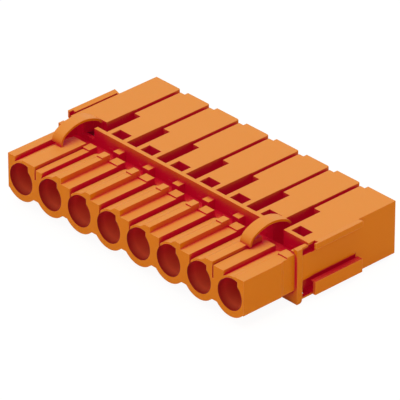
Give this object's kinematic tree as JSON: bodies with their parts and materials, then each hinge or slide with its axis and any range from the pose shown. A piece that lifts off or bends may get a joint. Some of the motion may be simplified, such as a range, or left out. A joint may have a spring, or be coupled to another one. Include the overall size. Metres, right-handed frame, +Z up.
{
  "type": "pluggable terminal block",
  "caption": "Flat orange plug for a board connector, with a row of round key-shaped wire entries, crimp sockets inside, two pull arches and a slotted mating section.",
  "frame": {"origin": "centre of the bounding box's underside, on the surface that the collar stands on", "axes": "+X along the row of poles, +Y out of the mating face towards the board connector, +Z up"},
  "size_m": [0.0422, 0.024, 0.0087],
  "materials": {
    "housing_plastic": "satin",
    "contact_metal": "satin",
    "spring_steel": "satin"
  },
  "bodies": {
    "root": {"housing": "housing_plastic", "contact_1": "contact_metal", "contact_2": "contact_metal", "contact_3": "contact_metal", "contact_4": "contact_metal", "contact_5": "contact_metal", "contact_6": "contact_metal", "contact_7": "contact_metal", "contact_8": "contact_metal", "over_spring_1": "spring_steel", "over_spring_2": "spring_steel", "over_spring_3": "spring_steel", "over_spring_4": "spring_steel", "over_spring_5": "spring_steel", "over_spring_6": "spring_steel", "over_spring_7": "spring_steel", "over_spring_8": "spring_steel"}
  },
  "joints": []
}
